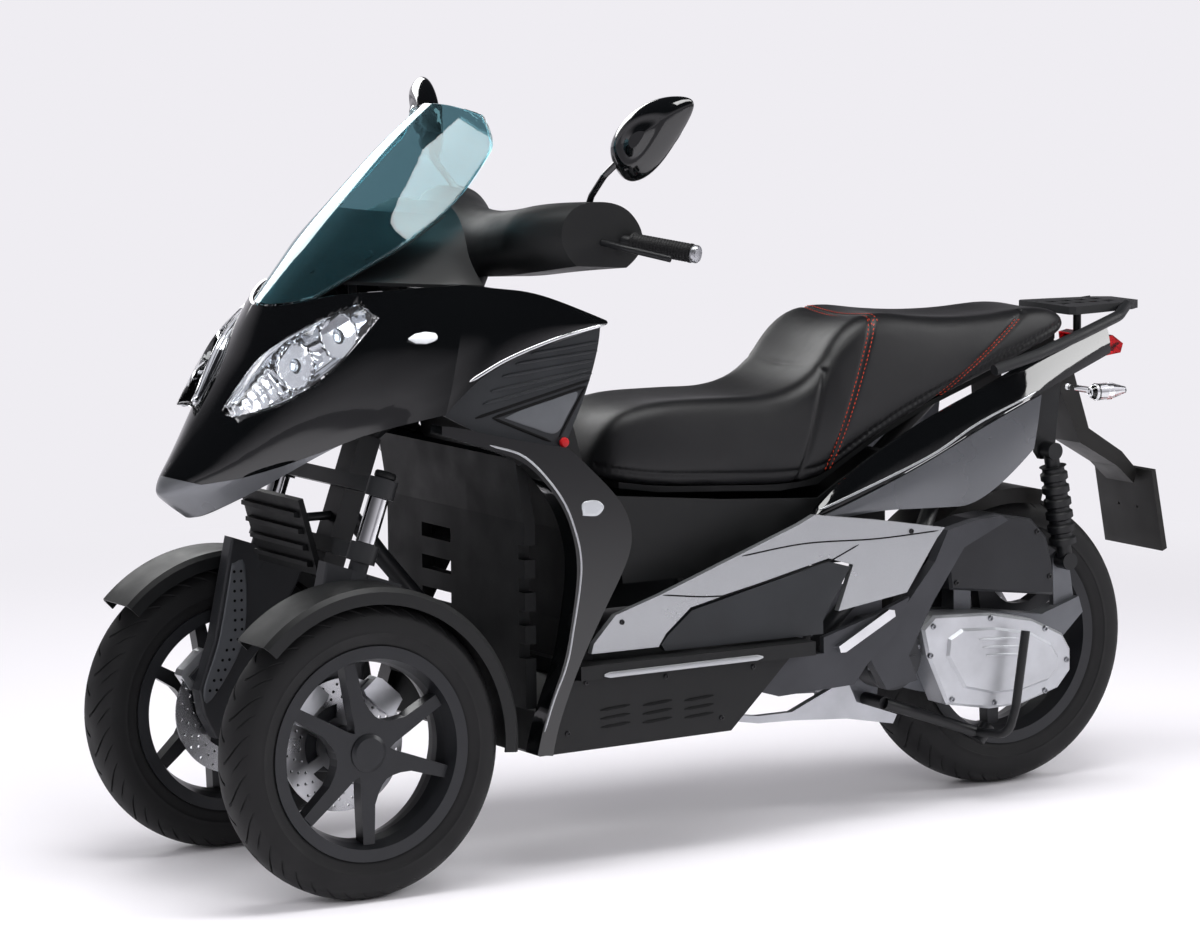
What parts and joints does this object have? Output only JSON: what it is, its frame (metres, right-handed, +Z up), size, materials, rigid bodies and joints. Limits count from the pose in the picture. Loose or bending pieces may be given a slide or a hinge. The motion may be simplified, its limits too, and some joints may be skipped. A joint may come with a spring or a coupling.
{
  "type": "reverse trike scooter",
  "caption": "Tilting maxi-scooter with two steered front wheels and one driven rear wheel, tall screen, stepped seat and a rear rack.",
  "frame": {"origin": "on the ground under the middle of the overall length and width", "axes": "+X to the front, +Y to the rider's left, +Z up"},
  "size_m": [2.192, 0.9958, 1.4064],
  "materials": {
    "frame_steel": "satin black paint on steel tube",
    "arm_steel": "satin dark grey paint",
    "gloss_black": "glossy painted plastic",
    "lamp_lens": "clear lens",
    "screen_tint": "tinted clear sheet",
    "matte_black": "grained black plastic",
    "dial_panel": "glossy panel",
    "dark_grey": "satin dark grey plastic",
    "satin_silver": "satin silver paint on plastic",
    "metallic_grey": "metallic grey paint on plastic",
    "cover_grey": "painted casting",
    "seat_cover": "black leatherette",
    "engine_cast": "sand-cast",
    "drive_silver": "light silver casting",
    "drive_dark": "dark grey paint on a casting",
    "airbox_plastic": "graphite plastic",
    "arm_cast": "bead-blasted casting",
    "shock_black": "black powder coat",
    "silencer_steel": "brushed stainless steel",
    "link_alloy": "forged, bare",
    "peg_chrome": "polished",
    "holder_plastic": "grained brown-black plastic",
    "red_lens": "clear red lens",
    "indicator_lens": "clear lens",
    "rack_black": "textured dark grey powder coat",
    "bar_steel": "black paint on steel",
    "grip_rubber": "ribbed rubber",
    "mirror_shell": "glossy black shell",
    "stand_steel": "black paint on steel tube",
    "leg_cast": "dark grey painted casting",
    "caliper_silver": "silver anodised",
    "tyre_rubber": "road tyre rubber",
    "rim_grey": "satin dark grey wheel paint",
    "disc_steel": "ground stainless steel"
  },
  "bodies": {
    "chassis": {"airbox": "airbox_plastic", "arch_liner": "matte_black", "belly_pan": "matte_black", "cvt_cover": "drive_silver", "engine": "engine_cast", "engine_links": "link_alloy", "exhaust": "silencer_steel", "fairing_inserts": "dark_grey", "floor": "matte_black", "frame": "frame_steel", "front_arms": "arm_steel", "front_cover": "gloss_black", "front_indicators": "indicator_lens", "front_lip": "metallic_grey", "headlamps": "lamp_lens", "inner_shield": "matte_black", "instrument_hood": "matte_black", "instruments": "dial_panel", "leg_shields": "gloss_black", "linkage_cover": "matte_black", "lower_covers": "cover_grey", "pillion_pegs": "peg_chrome", "plate_holder": "holder_plastic", "rack": "rack_black", "rear_arm": "arm_cast", "rear_hugger": "holder_plastic", "rear_indicators": "indicator_lens", "screen_garnish": "matte_black", "shocks": "shock_black", "side_fairings": "gloss_black", "side_inserts": "dark_grey", "side_panels": "satin_silver", "storage_box": "matte_black", "tail_lamp": "red_lens", "tail_panels": "metallic_grey", "tail_strips": "gloss_black", "variator_cover": "drive_dark", "windscreen": "screen_tint"},
    "steering": {"handlebar": "bar_steel", "grips": "grip_rubber", "mirrors": "mirror_shell", "bar_cover": "matte_black"},
    "seat": {"seat_cushion": "seat_cover", "seat_pan": "matte_black"},
    "stand": {"centre_stand": "stand_steel"},
    "rear_wheel": {"rear_tyre": "tyre_rubber", "rear_rim": "rim_grey", "rear_disc": "disc_steel"},
    "knuckle_left": {"fork_leg_left": "leg_cast", "calipers_left": "caliper_silver", "front_fender_left": "matte_black"},
    "wheel_left": {"front_tyre_left": "tyre_rubber", "front_rim_left": "rim_grey", "front_disc_left": "disc_steel"},
    "knuckle_right": {"fork_leg_right": "leg_cast", "calipers_right": "caliper_silver", "front_fender_right": "matte_black"},
    "wheel_right": {"front_tyre_right": "tyre_rubber", "front_rim_right": "rim_grey", "front_disc_right": "disc_steel"}
  },
  "joints": [
    {"name": "steering", "type": "hinge", "parent": "chassis", "child": "steering", "pos_m": [0.4, 0, 1.1], "axis": [-0.4226, 0, 0.9063], "range_deg": [-30, 30]},
    {"name": "knuckle_left", "type": "hinge", "parent": "chassis", "child": "knuckle_left", "pos_m": [0.89, 0.19, 0.266], "axis": [-0.3338, 0, 0.9426], "range_deg": [-30, 30]},
    {"name": "knuckle_right", "type": "hinge", "parent": "chassis", "child": "knuckle_right", "pos_m": [0.89, -0.19, 0.266], "axis": [-0.3338, 0, 0.9426], "range_deg": [-30, 30]},
    {"name": "wheel_left_spin", "type": "hinge", "parent": "knuckle_left", "child": "wheel_left", "pos_m": [0.83, 0.275, 0.266], "axis": [0, 1, 0], "continuous": true},
    {"name": "wheel_right_spin", "type": "hinge", "parent": "knuckle_right", "child": "wheel_right", "pos_m": [0.83, -0.275, 0.266], "axis": [0, 1, 0], "continuous": true},
    {"name": "rear_wheel_spin", "type": "hinge", "parent": "chassis", "child": "rear_wheel", "pos_m": [-0.73, 0, 0.288], "axis": [0, 1, 0], "continuous": true},
    {"name": "seat_lid", "type": "hinge", "parent": "chassis", "child": "seat", "pos_m": [0.246, 0, 0.676], "axis": [0, 1, 0], "range_deg": [0, 60]},
    {"name": "stand_swing", "type": "hinge", "parent": "chassis", "child": "stand", "pos_m": [-0.387, 0, 0.207], "axis": [0, -1, 0], "range_deg": [0, 80], "stiffness_Nm_per_rad": 6, "springref_deg": -80.21}
  ],
  "couplings": [
    {"joint": "knuckle_left", "follows": "steering", "ratio": 1},
    {"joint": "knuckle_right", "follows": "steering", "ratio": 1}
  ]
}
